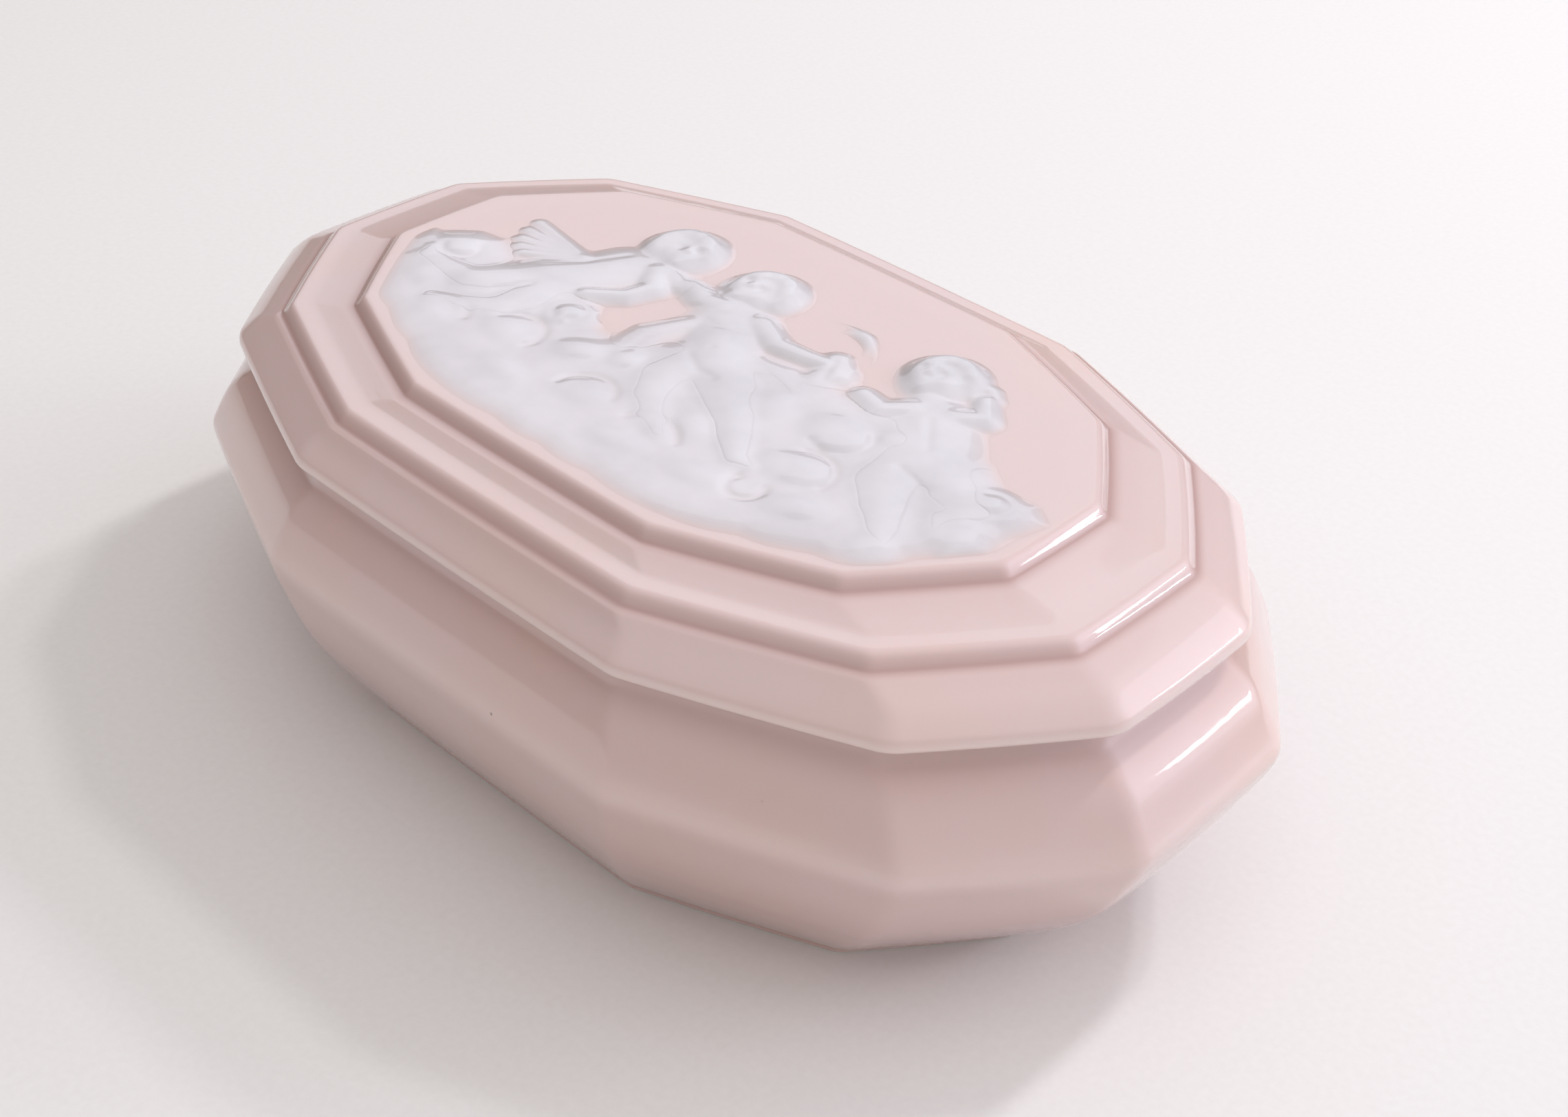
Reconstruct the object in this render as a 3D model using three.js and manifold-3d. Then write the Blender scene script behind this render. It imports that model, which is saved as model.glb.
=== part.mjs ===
// Oval twelve-sided powder jar: a footed bowl, a stepped lid that lifts off it, and white slip
// figures on a bank of clouds laid on the lid. Millimetres, +Z up, X along the length, origin
// under the middle of the foot.
import * as THREE from 'three';
import { mergeVertices } from 'three/addons/utils/BufferGeometryUtils.js';
import Module from 'manifold-3d';

const wasm = await Module();
wasm.setup();

// The plan that every level of the jar repeats at its own length, drawn at the belly
const jarLength = 162.4;
const jarWidth = 98.8;
const endFlat = 27;          // length of the short facet across each end
const sideFlat = 62.6;       // length of the long facet along each side
const sideFacetTurn = 22;    // degrees from the long side to the next facet
const endFacetTurn = 53;     // degrees from the long side to the facet beside the end
const cornerRadius = 5.4;    // rounding where two facets meet
const cornerSteps = 2;

// Bowl: insets are taken at each end from the belly, heights from the table
const footInset = 17.8;
const footWidth = 3.6;
const footHeight = 1.5;
const footRecess = 1.6;
const bellyHeight = 27;
const bellyRound = 1.6;
const breakInset = 2.7;      // slight break in the wall below the belly
const breakHeight = 19.5;
const lowBow = { out: 0.46, up: 0.38 };   // shares of the way from the foot to the break
const highBow = { out: 0.82, up: 0.72 };
const shoulderOut = 1.5;     // how far the shoulder swells past a straight line to the mouth
const shoulderUp = 0.8;
const mouthInset = 9.7;
const mouthHeight = 39.7;
const bowlWall = 3.4;
const floorThickness = 4;

// Lid: each tier's inset is taken at each end from the level outside it
const seatGap = 0.3;         // between the bowl's land and the lid resting on it
const rimInset = 6.2;
const rimThickness = 2.4;
const rimRound = 0.9;
const lowerTierInset = 8;
const upperTierInset = 11.7;
const lidRise = 6.5;         // from the rim's underside to the foot of the lower tier
const tierRise = 1.6;
const tierSlope = 1.2;       // how far each riser leans in
const ledgeRise = 1.4;       // how far the ledge climbs between the tiers
const lidWall = 3.4;

// Flange under the lid that drops into the bowl's mouth
const landWidth = 4;
const flangeClearance = 0.8;
const flangeThickness = 2.4;
const flangeDepth = 3.4;

// Slip relief on the lid's flat top
const bedGap = 0.3;          // between the relief and what it lies on
const cloudRise = 0.9;
const cloudMargin = 1.7;     // bare border between the clouds and the edge of the top
const figureLift = 0.7;      // height of a limb's middle line above the bed
const figureFlatness = 0.36; // height of a limb over its breadth
const figureSides = 10;

const glazedPink = { color: 0xdcc3c1, roughness: 0.12, metalness: 0 };
const glazedWhite = { color: 0xe6e2e4, roughness: 0.14, metalness: 0 };

// Plan outline: points and outward normals of the rounded twelve-sided belly, anticlockwise
function planOutline() {
  const side = new THREE.Vector2(sideFlat / 2, jarWidth / 2);
  const end = new THREE.Vector2(jarLength / 2, endFlat / 2);
  const sideSlope = Math.tan(THREE.MathUtils.degToRad(sideFacetTurn));
  const endSlope = Math.tan(THREE.MathUtils.degToRad(endFacetTurn));
  const middleX = (end.y - side.y + endSlope * end.x - sideSlope * side.x) / (endSlope - sideSlope);
  const middle = new THREE.Vector2(middleX, side.y - sideSlope * (middleX - side.x));
  const quarter = [end, middle, side];
  const corners = [
    ...quarter,
    ...quarter.map((c) => new THREE.Vector2(-c.x, c.y)).reverse(),
    ...quarter.map((c) => new THREE.Vector2(-c.x, -c.y)),
    ...quarter.map((c) => new THREE.Vector2(c.x, -c.y)).reverse(),
  ];
  return corners.flatMap((corner, i) => {
    const before = corner.clone().sub(corners.at(i - 1)).normalize();
    const after = corners[(i + 1) % corners.length].clone().sub(corner).normalize();
    const start = Math.atan2(-before.x, before.y);
    const turn = Math.asin(before.cross(after));
    const centre = corner.clone()
      .addScaledVector(before, -cornerRadius * Math.tan(turn / 2))
      .add(new THREE.Vector2(-before.y, before.x).multiplyScalar(cornerRadius));
    return Array.from({ length: cornerSteps + 1 }, (_, step) => {
      const angle = start + (turn * step) / cornerSteps;
      const normal = new THREE.Vector2(Math.cos(angle), Math.sin(angle));
      return { point: centre.clone().addScaledVector(normal, cornerRadius), normal };
    });
  });
}
const outline = planOutline();

// A solid turned on the plan instead of a circle. Each level has the length over its outline,
// how far it stands in from that outline, and its height; the first and last lie on the axis.
function turnedOnPlan(levels) {
  const profile = levels.map(({ length, height }) => new THREE.Vector2(length / 2, height));
  const geometry = new THREE.LatheGeometry(profile, outline.length);
  const position = geometry.getAttribute('position');
  for (let side = 0; side <= outline.length; side += 1) {
    const { point, normal } = outline[side % outline.length];
    levels.forEach(({ length, inset = 0, height }, step) => {
      const share = length / jarLength;
      const reach = length === 0 ? 0 : -inset;
      position.setXYZ(
        side * levels.length + step,
        point.x * share + normal.x * reach,
        point.y * share + normal.y * reach,
        height,
      );
    });
  }
  return closed(geometry);
}

// Only positions, shared vertices merged and collapsed triangles left out
function closed(geometry) {
  const bare = geometry.clone();
  bare.deleteAttribute('normal');
  bare.deleteAttribute('uv');
  const merged = mergeVertices(bare, 1e-4);
  const index = [];
  for (let i = 0; i < merged.index.count; i += 3) {
    const [a, b, c] = [0, 1, 2].map((k) => merged.index.getX(i + k));
    if (a !== b && b !== c && c !== a) index.push(a, b, c);
  }
  merged.setIndex(index);
  return merged;
}

function toSolid(geometry) {
  const { index, attributes } = closed(geometry);
  return new wasm.Manifold(new wasm.Mesh({
    numProp: 3,
    vertProperties: new Float32Array(attributes.position.array),
    triVerts: new Uint32Array(index.array),
  }));
}

function toGeometry(solid) {
  const { vertProperties, triVerts } = solid.getMesh();
  const geometry = new THREE.BufferGeometry();
  geometry.setAttribute('position', new THREE.BufferAttribute(vertProperties, 3));
  geometry.setIndex(new THREE.BufferAttribute(triVerts, 1));
  return geometry;
}

const jar = new THREE.Group();

function addPart(name, geometry, finish) {
  const mesh = new THREE.Mesh(geometry, new THREE.MeshStandardMaterial(finish));
  mesh.name = name;
  geometry.computeVertexNormals();
  jar.add(mesh);
}

// Bowl, from under its floor, up the outside, over the land and down the inside
const footLength = jarLength - 2 * footInset;
const breakLength = jarLength - 2 * breakInset;
const mouthLength = jarLength - 2 * mouthInset;
const footTop = { length: footLength, height: footHeight };
const wallStart = { length: footLength + 2, height: footHeight + 0.4 };
const wallAt = ({ out, up }) => ({
  length: footLength + out * (breakLength - footLength),
  height: up * breakHeight,
});
const lowWall = wallAt(lowBow);
const highWall = wallAt(highBow);
const wallBreak = { length: breakLength, height: breakHeight };
const bellyUnder = { length: jarLength - 0.8, height: bellyHeight - bellyRound };
const belly = { length: jarLength, height: bellyHeight };
const bellyOver = { length: jarLength - 1.6, height: bellyHeight + bellyRound };
const shoulder = {
  length: (jarLength + mouthLength) / 2 + shoulderOut,
  height: (bellyHeight + mouthHeight) / 2 + shoulderUp,
};
const neck = { length: mouthLength + 1.6, height: mouthHeight - 2.4 };
const mouth = { length: mouthLength, height: mouthHeight };
const floorHeight = footRecess + floorThickness;
const inside = (level, raise = 0) => ({ ...level, inset: bowlWall, height: level.height + raise });
addPart('bowl', turnedOnPlan([
  { length: 0, height: footRecess },
  { length: footLength, inset: footWidth, height: footRecess },
  { length: footLength, inset: footWidth - 0.4, height: 0 },
  { length: footLength, inset: 0.5, height: 0 },
  footTop,
  wallStart,
  lowWall,
  highWall,
  wallBreak,
  bellyUnder,
  belly,
  bellyOver,
  shoulder,
  neck,
  { ...mouth, height: mouthHeight - 0.8 },
  { ...mouth, inset: 0.7 },
  { ...mouth, inset: landWidth },
  { ...mouth, inset: landWidth, height: mouthHeight - flangeDepth - 1.2 },
  inside(shoulder, -1.4),
  inside(belly),
  inside(wallBreak, 0.8),
  inside(highWall, 1.2),
  inside(lowWall, 1.8),
  { ...wallStart, inset: bowlWall + 4, height: floorHeight + 0.6 },
  { ...wallStart, inset: bowlWall + 10, height: floorHeight },
  { length: 0, height: floorHeight },
]), glazedPink);

// Lid, from the middle of its underside, down the flange, round the rim and up the tiers
const rimLength = jarLength - 2 * rimInset;
const lowerTierLength = rimLength - 2 * lowerTierInset;
const upperTierLength = lowerTierLength - 2 * upperTierInset;
const seat = mouthHeight + seatGap;
const lowerTier = { length: lowerTierLength, height: seat + lidRise };
const lowerRidge = { ...lowerTier, inset: tierSlope, height: lowerTier.height + tierRise };
const upperTier = { length: upperTierLength, height: lowerRidge.height + ledgeRise };
const topHeight = upperTier.height + tierRise;
const upperRidge = { ...upperTier, inset: tierSlope + 0.5, height: topHeight };
const rim = { length: rimLength, height: seat + rimThickness };
const flangeFace = landWidth + flangeClearance;
const flangeBack = flangeFace + flangeThickness;
addPart('lid', turnedOnPlan([
  { length: 0, height: topHeight - lidWall - 0.3 },
  { ...upperTier, inset: lidWall - 1, height: upperTier.height - lidWall },
  { ...lowerTier, inset: lidWall + 1.2, height: lowerTier.height - lidWall + 0.4 },
  { ...mouth, inset: flangeBack, height: seat + 2.2 },
  { ...mouth, inset: flangeBack, height: seat - flangeDepth },
  { ...mouth, inset: flangeFace + 0.5, height: seat - flangeDepth },
  { ...mouth, inset: flangeFace, height: seat - flangeDepth + 0.6 },
  { ...mouth, inset: flangeFace, height: seat },
  { ...rim, inset: rimRound, height: seat },
  { ...rim, height: seat + rimRound },
  { ...rim, inset: rimRound * 0.4 },
  { ...rim, inset: 2.6, height: seat + (rimThickness + lidRise) / 2 },
  { ...lowerTier, inset: -1, height: lowerTier.height - 0.3 },
  lowerTier,
  { ...lowerTier, inset: tierSlope * 0.8, height: lowerRidge.height - 0.4 },
  { ...lowerRidge, inset: tierSlope + 0.5 },
  { ...upperTier, inset: -1, height: upperTier.height - 0.15 },
  upperTier,
  { ...upperTier, inset: tierSlope * 0.8, height: topHeight - 0.4 },
  upperRidge,
  { length: 0, height: topHeight },
]), glazedPink);

// Layout of the relief, in shares of the top's half length and half width
const topShare = upperTierLength / jarLength;
const topHalf = new THREE.Vector2(jarLength, jarWidth)
  .multiplyScalar(topShare / 2)
  .subScalar(tierSlope + cloudMargin);
const place = (x, y) => new THREE.Vector2(x * topHalf.x, y * topHalf.y);

// Cloud bank: its lower edge keeps to the edge of the top, its upper edge billows
function cloudShape() {
  const lowerEdge = outline
    .map(({ point, normal }) => point.clone()
      .multiplyScalar(topShare)
      .addScaledVector(normal, -tierSlope - cloudMargin))
    .filter((point) => point.y < -0.3 * topHalf.y);
  const billows = [
    [0.98, -0.02], [0.88, 0.08], [0.78, 0.02], [0.7, 0.1], [0.58, 0.02], [0.44, 0.16], [0.3, 0.28],
    [0.16, 0.3], [0.02, 0.2], [-0.1, 0.14], [-0.19, -0.08], [-0.28, -0.22], [-0.4, -0.16],
    [-0.52, 0.04], [-0.64, -0.04], [-0.72, -0.1], [-0.84, -0.04], [-0.94, -0.18], [-0.96, -0.3],
  ].map(([x, y]) => place(x, y));
  return new THREE.Shape(new THREE.Shape(lowerEdge).splineThru(billows).getPoints(2));
}

function cloudBank(grow) {
  const geometry = new THREE.ExtrudeGeometry(cloudShape(), {
    depth: cloudRise / 2 + grow,
    bevelThickness: cloudRise / 2,
    bevelSize: grow > 0 ? grow : -cloudRise / 2,
    bevelSegments: 1,
    curveSegments: 3,
  });
  return toSolid(geometry.translate(0, 0, topHeight + bedGap));
}

// One limb, lock of hair or wing feather: a tapered capsule laid on the top and flattened
function limb(from, to, fromRadius, toRadius) {
  const length = Math.max(from.distanceTo(to), 0.01);
  const arc = (radius, middle, start, end) => Array.from({ length: 4 }, (_, i) => {
    const angle = start + ((end - start) * i) / 3;
    return new THREE.Vector2(
      radius * Math.cos(angle),
      middle + radius * Math.sin(angle),
    );
  });
  const profile = [
    ...arc(fromRadius, 0, -Math.PI / 2, 0),
    ...arc(toRadius, length, 0, Math.PI / 2),
  ];
  profile[0].x = 0;
  profile.at(-1).x = 0;
  const geometry = new THREE.LatheGeometry(profile, figureSides);
  const direction = to.clone().sub(from);
  geometry.scale(1, 1, figureFlatness);
  geometry.rotateZ(Math.atan2(direction.y, direction.x) - Math.PI / 2);
  geometry.translate(from.x, from.y, topHeight + bedGap + figureLift);
  return toSolid(geometry);
}

const aboveTop = toSolid(new THREE.BoxGeometry(jarLength, jarWidth, mouthHeight)
  .translate(0, 0, topHeight + bedGap + mouthHeight / 2));
const clouds = cloudBank(0).intersect(aboveTop);
const cloudsAndGap = cloudBank(bedGap);

// A figure is a list of limbs: where each starts and ends, and its radius at both ends
function figure(limbs) {
  const pieces = limbs.map(([x1, y1, x2, y2, r1, r2]) => limb(place(x1, y1), place(x2, y2), r1, r2));
  const body = pieces.reduce((whole, piece) => whole.add(piece));
  return body.intersect(aboveTop).subtract(cloudsAndGap);
}

const putti = {
  putto_reclining: [
    [-0.45, 0.56, -0.44, 0.57, 5.2, 5.2], // head
    [-0.47, 0.28, -0.55, 0.02, 5, 4.8],   // chest and hips
    [-0.55, 0.02, -0.72, -0.22, 4.4, 3.4], // thigh
    [-0.72, -0.22, -0.86, -0.24, 3, 2.4], // calf
    [-0.57, -0.06, -0.57, -0.36, 3.6, 2.8], // other thigh
    [-0.42, 0.3, -0.36, 0.02, 2.8, 2.2],  // arm it leans on
    [-0.54, 0.24, -0.68, 0.12, 2.8, 2.4], // far arm
    [-0.68, 0.12, -0.8, 0.1, 2.4, 2.6],   // hand on a small wing
  ],
  putto_leaning: [
    [-0.14, 0.5, -0.13, 0.51, 5, 5],
    [-0.12, 0.26, 0.06, 0, 4.8, 5],
    [0.06, 0, 0.26, -0.26, 4.4, 3.4],
    [0.26, -0.26, 0.36, -0.46, 3, 2.4],
    [0.02, -0.04, 0.14, -0.34, 4, 3],
    [-0.14, 0.3, -0.3, 0.26, 2.8, 2.4],   // arm towards its neighbour
    [-0.06, 0.3, 0.12, 0.24, 2.8, 2.2],   // arm stretched out over the clouds
    [0.12, 0.24, 0.27, 0.32, 2.2, 2.4],
  ],
  putto_kneeling: [
    [0.47, 0.46, 0.48, 0.47, 5.2, 5.2],
    [0.53, 0.22, 0.62, -0.02, 5, 5.2],
    [0.62, -0.02, 0.68, -0.3, 4.4, 3.4],
    [0.68, -0.3, 0.78, -0.46, 3, 2.4],
    [0.66, 0, 0.76, -0.02, 4, 3.2],
    [0.55, 0.3, 0.63, 0.46, 2.6, 2],      // raised arm
    [0.46, 0.22, 0.38, 0.06, 2.8, 2.2],
  ],
};

addPart('relief_clouds', toGeometry(clouds), glazedWhite);
for (const [name, limbs] of Object.entries(putti)) {
  addPart(name, toGeometry(figure(limbs)), glazedWhite);
}

export default jar;
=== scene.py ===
import math

import bpy
import numpy as np
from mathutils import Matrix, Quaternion, Vector


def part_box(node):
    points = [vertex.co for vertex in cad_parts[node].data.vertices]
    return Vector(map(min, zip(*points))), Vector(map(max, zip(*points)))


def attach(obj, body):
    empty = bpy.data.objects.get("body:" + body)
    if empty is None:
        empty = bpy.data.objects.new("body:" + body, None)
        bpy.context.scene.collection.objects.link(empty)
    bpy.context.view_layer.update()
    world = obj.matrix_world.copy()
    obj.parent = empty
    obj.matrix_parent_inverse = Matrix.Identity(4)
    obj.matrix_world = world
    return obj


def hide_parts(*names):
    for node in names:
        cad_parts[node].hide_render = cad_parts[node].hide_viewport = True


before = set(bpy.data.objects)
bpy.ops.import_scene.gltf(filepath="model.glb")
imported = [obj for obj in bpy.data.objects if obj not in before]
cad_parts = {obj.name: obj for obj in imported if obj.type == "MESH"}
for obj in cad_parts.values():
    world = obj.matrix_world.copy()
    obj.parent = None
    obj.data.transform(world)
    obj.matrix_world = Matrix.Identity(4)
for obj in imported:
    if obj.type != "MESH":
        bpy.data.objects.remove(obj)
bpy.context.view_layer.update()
mm = 0.001
tiny = 1e-9       # stands in for a length of zero where a division needs one
farAway = 1e9     # square mm, beyond anything on the lid

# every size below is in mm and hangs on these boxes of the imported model
bowlLow, bowlHigh = [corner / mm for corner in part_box("bowl")]
lidLow, lidHigh = [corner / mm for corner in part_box("lid")]
jarLength = bowlHigh.x - bowlLow.x
jarWidth = bowlHigh.y - bowlLow.y
rimLength = lidHigh.x - lidLow.x
mouthHeight = bowlHigh.z
flangeFoot = lidLow.z
topHeight = lidHigh.z
print("frame loaded, jar", round(jarLength, 1), "x", round(jarWidth, 1), "x", round(topHeight, 1), "mm")

view = {
    "azimuth": 42.34,
    "elevation": 35.61,
    "roll": 2.56,
    "distance": 261.1,
    "lookAt": (26.1, -14.6, 40),
    "lens": 49.9,
    "filmWidth": 36,
    "clipStart": 10,
}


def direction(azimuth, elevation):
    # azimuth 0 looks along +Y, 90 along -X, as the frame has it
    a, e = math.radians(azimuth), math.radians(elevation)
    return Vector((math.sin(a) * math.cos(e), -math.cos(a) * math.cos(e), math.sin(e)))


def makeCamera():
    back = direction(view["azimuth"], view["elevation"])
    data = bpy.data.cameras.new("jarCamera")
    data.lens = view["lens"]
    data.sensor_width = view["filmWidth"]
    data.clip_start = view["clipStart"] * mm
    camera = bpy.data.objects.new("jarCamera", data)
    bpy.context.scene.collection.objects.link(camera)
    camera.location = (Vector(view["lookAt"]) + back * view["distance"]) * mm
    camera.rotation_mode = "QUATERNION"
    roll = Quaternion((0, 0, 1), math.radians(view["roll"]))
    camera.rotation_quaternion = back.to_track_quat("Z", "Y") @ roll
    bpy.context.scene.camera = camera
    print("camera set")


def linear(hexColour):
    # sRGB hex to the linear colour that the shaders work in
    parts = [int(hexColour[i:i + 2], 16) / 255 for i in (1, 3, 5)]
    return tuple(p / 12.92 if p <= 0.04045 else ((p + 0.055) / 1.055) ** 2.4 for p in parts) + (1,)


def addNode(tree, kind, settings=(), inputs=()):
    # settings are the node's own; each input is a value or another node's output
    node = tree.nodes.new(kind)
    for name, value in dict(settings).items():
        setattr(node, name, value)
    for name, value in dict(inputs).items():
        if isinstance(value, bpy.types.NodeSocket):
            tree.links.new(value, node.inputs[name])
        else:
            node.inputs[name].default_value = value
    return node


def newMaterial(name):
    material = bpy.data.materials.new(name)
    material.use_nodes = True
    material.node_tree.nodes.clear()
    return material


# the Mix node's sockets for colours, by their number
colourSockets = {"factor": 0, "from": 6, "to": 7, "result": 2}


def blendColour(tree, factor, start, end, how="MIX"):
    node = addNode(tree, "ShaderNodeMix", {"data_type": "RGBA", "blend_type": how}, {
        colourSockets["factor"]: factor,
        colourSockets["from"]: start,
        colourSockets["to"]: end,
    })
    return node.outputs[colourSockets["result"]]


glazeFinish = {
    "pink": "#dfc8c6",
    "pooledAndShaded": "#a5746d",       # where the glaze runs together, darkened further as painted shade in grooves, at the foot, on the lower wall and under the rim
    "thin": "#f3e6e1",         # where it draws off an edge
    "warm": "#e3c2ac",         # faint peach clouding of the fired colour
    "speck": "#5d4640",
    "cloudSize": 34,           # mm across one patch of the clouding
    "cloudFrom": 0.48,         # the clouding comes in between these two values of the noise
    "cloudTo": 0.78,
    "cloudDepth": 0.38,        # how much of the warm colour, of the pooled colour with its painted shade and of the thin one
    "poolAndShadeDepth": 0.8,
    "thinDepth": 0.75,
    "rippleSize": 3.2,         # mm between the waves of the fired glaze
    "rippleHeight": 0.018,
    "speckSpacing": 7,
    "speckSize": 0.26,         # real kiln specks, drawn at their size
    "speckRim": 2.2,           # a speck fades in from here, in radii, and is full at its core
    "speckCore": 0.6,
    "speckless": 0.72,         # share of the places that have no speck
    "bodyRoughness": 0.42,
    "coatRoughness": 0.055,
    "ior": 1.5,
    "bleed": 1.6,              # mm that light travels under the glaze
    "scatter": 0.25,           # share of the light that does so, and how far each colour goes
    "scatterReach": (1, 0.55, 0.5),
}


def glazeColour(tree, place):
    # the pink with its clouding, its pools of glaze darkened as painted shade, its thin edges and the kiln
    # specks
    g = glazeFinish
    clouding = addNode(tree, "ShaderNodeTexNoise", {}, {
        "Vector": place, "Scale": 1 / (g["cloudSize"] * mm), "Detail": 3, "Roughness": 0.55})
    warmth = addNode(tree, "ShaderNodeMapRange", {}, {
        "Value": clouding.outputs["Fac"],
        "From Min": g["cloudFrom"],
        "From Max": g["cloudTo"],
        "To Max": g["cloudDepth"],
    })
    colour = blendColour(tree, warmth.outputs["Result"], linear(g["pink"]), linear(g["warm"]))
    # painted shade: this attribute darkens the grooves, the foot, the lower wall and the wall under the rim
    # towards the pooled colour, along with the glaze's own pooling
    poolAndShade = addNode(tree, "ShaderNodeAttribute", {"attribute_name": "glazePoolAndShade"})
    pooledAndShaded = addNode(tree, "ShaderNodeMapRange", {}, {
        "Value": poolAndShade.outputs["Fac"], "To Max": g["poolAndShadeDepth"]})
    colour = blendColour(tree, pooledAndShaded.outputs["Result"], colour, linear(g["pooledAndShaded"]))
    drawn = addNode(tree, "ShaderNodeMapRange", {}, {
        "Value": poolAndShade.outputs["Fac"], "From Min": 0, "From Max": -1, "To Max": g["thinDepth"]})
    colour = blendColour(tree, drawn.outputs["Result"], colour, linear(g["thin"]))
    cells = addNode(tree, "ShaderNodeTexVoronoi", {}, {
        "Vector": place, "Scale": 1 / (g["speckSpacing"] * mm), "Randomness": 1})
    reach = g["speckSize"] / g["speckSpacing"] / 2
    near = addNode(tree, "ShaderNodeMapRange", {}, {
        "Value": cells.outputs["Distance"],
        "From Min": reach * g["speckRim"],
        "From Max": reach * g["speckCore"],
    })
    tone = addNode(tree, "ShaderNodeSeparateColor", {}, {"Color": cells.outputs["Color"]})
    some = addNode(tree, "ShaderNodeMath", {"operation": "GREATER_THAN"}, {
        0: tone.outputs["Red"], 1: g["speckless"]})
    speck = addNode(tree, "ShaderNodeMath", {"operation": "MULTIPLY"}, {
        0: near.outputs["Result"], 1: some.outputs["Value"]})
    faint = addNode(tree, "ShaderNodeMath", {"operation": "MULTIPLY"}, {
        0: speck.outputs["Value"], 1: tone.outputs["Green"]})
    return blendColour(tree, faint.outputs["Value"], colour, linear(g["speck"]))


def glazeRipple(tree, place):
    g = glazeFinish
    wave = addNode(tree, "ShaderNodeTexNoise", {}, {
        "Vector": place, "Scale": 1 / (g["rippleSize"] * mm), "Detail": 1.5, "Roughness": 0.4})
    bump = addNode(tree, "ShaderNodeBump", {}, {
        "Height": wave.outputs["Fac"], "Strength": 1, "Distance": g["rippleHeight"] * mm})
    return bump.outputs["Normal"]


def glazedShader(tree, colour, normal, body):
    # the clear glaze is the same everywhere; the body under it passes on its own share of light
    g = glazeFinish
    shader = addNode(tree, "ShaderNodeBsdfPrincipled", {"subsurface_method": "RANDOM_WALK"}, {
        "Base Color": colour,
        "Roughness": g["bodyRoughness"],
        "IOR": g["ior"],
        "Normal": normal,
        "Coat Normal": normal,
        "Coat Weight": 1,
        "Coat Roughness": g["coatRoughness"],
        "Coat IOR": g["ior"],
        "Subsurface Weight": body["scatter"],
        "Subsurface Radius": body["scatterReach"],
        "Subsurface Scale": g["bleed"] * mm,
    })
    addNode(tree, "ShaderNodeOutputMaterial", {}, {"Surface": shader.outputs["BSDF"]})


def pinkGlazedPorcelain():
    # tinted glaze fired over moulded porcelain: wet-looking, with soft reflections of the room,
    # deeper colour in the hollows from pooled glaze and painted shade, paler edges and a few dark kiln
    # specks
    material = newMaterial("pinkGlazedPorcelain")
    tree = material.node_tree
    place = addNode(tree, "ShaderNodeTexCoord").outputs["Object"]
    glazedShader(tree, glazeColour(tree, place), glazeRipple(tree, place), glazeFinish)
    return material


slipFinish = {
    "white": "#dcdadf",
    "greyed": "#d0ced3",
    "cloudSize": 9,
    "cloudFrom": 0.4,
    "cloudTo": 0.7,
    "scatter": 0.1,
    "scatterReach": (1, 0.9, 0.9),
}


def whiteSlipUnderGlaze():
    # white clay built up in layers on the pink and glazed over: cool milky white that lets the
    # pink through wherever the slip thins out
    s = slipFinish
    material = newMaterial("whiteSlipUnderGlaze")
    tree = material.node_tree
    place = addNode(tree, "ShaderNodeTexCoord").outputs["Object"]
    clouding = addNode(tree, "ShaderNodeTexNoise", {}, {
        "Vector": place, "Scale": 1 / (s["cloudSize"] * mm), "Detail": 3})
    grey = addNode(tree, "ShaderNodeMapRange", {}, {
        "Value": clouding.outputs["Fac"], "From Min": s["cloudFrom"], "From Max": s["cloudTo"]})
    white = blendColour(tree, grey.outputs["Result"], linear(s["white"]), linear(s["greyed"]))
    cover = addNode(tree, "ShaderNodeAttribute", {"attribute_name": "slipCover"})
    colour = blendColour(tree, cover.outputs["Fac"], glazeColour(tree, place), white)
    glazedShader(tree, colour, glazeRipple(tree, place), s)
    return material


bareFinish = {
    "body": "#e9e2da",
    "worn": "#d6cabd",
    "grain": 0.5,              # mm, drawn coarser than the real grain so that it shows
    "grainHeight": 0.02,
    "roughness": 0.75,
}


def barePorcelain():
    # wiped clean of glaze before firing: matt, faintly sandy, off-white
    b = bareFinish
    material = newMaterial("barePorcelain")
    tree = material.node_tree
    place = addNode(tree, "ShaderNodeTexCoord").outputs["Object"]
    grain = addNode(tree, "ShaderNodeTexNoise", {}, {
        "Vector": place, "Scale": 1 / (b["grain"] * mm), "Detail": 4})
    colour = blendColour(tree, grain.outputs["Fac"], linear(b["body"]), linear(b["worn"]))
    bump = addNode(tree, "ShaderNodeBump", {}, {
        "Height": grain.outputs["Fac"], "Distance": b["grainHeight"] * mm})
    shader = addNode(tree, "ShaderNodeBsdfPrincipled", {}, {
        "Base Color": colour, "Roughness": b["roughness"], "Normal": bump.outputs["Normal"]})
    addNode(tree, "ShaderNodeOutputMaterial", {}, {"Surface": shader.outputs["BSDF"]})
    return material


# the plan that every level repeats: twelve facets, each a direction and a distance from the middle

plan = {
    "endFlat": 27,
    "sideFlat": 62.6,
    "sideFacetTurn": 22,
    "endFacetTurn": 53,
    "flatStep": 2.2,        # mm between points along a facet, of which it has a few at least
    "fewestSteps": 4,
    "cornerSteps": 7,
    "smallestCorner": 0.3,
    "crown": 0.2,           # how far a facet bows out at its middle
    "wave": 0.09,           # hand-finished unevenness of the mould
}


def facetDirections():
    quarter = [0, 90 - plan["endFacetTurn"], 90 - plan["sideFacetTurn"]]
    angles = quarter + [90] + [180 - a for a in reversed(quarter)]
    angles += [180 + a for a in quarter[1:]] + [270] + [360 - a for a in reversed(quarter[1:])]
    return np.radians(angles)


facetAngle = facetDirections()
facetNormal = np.stack([np.cos(facetAngle), np.sin(facetAngle)], axis=1)


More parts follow.
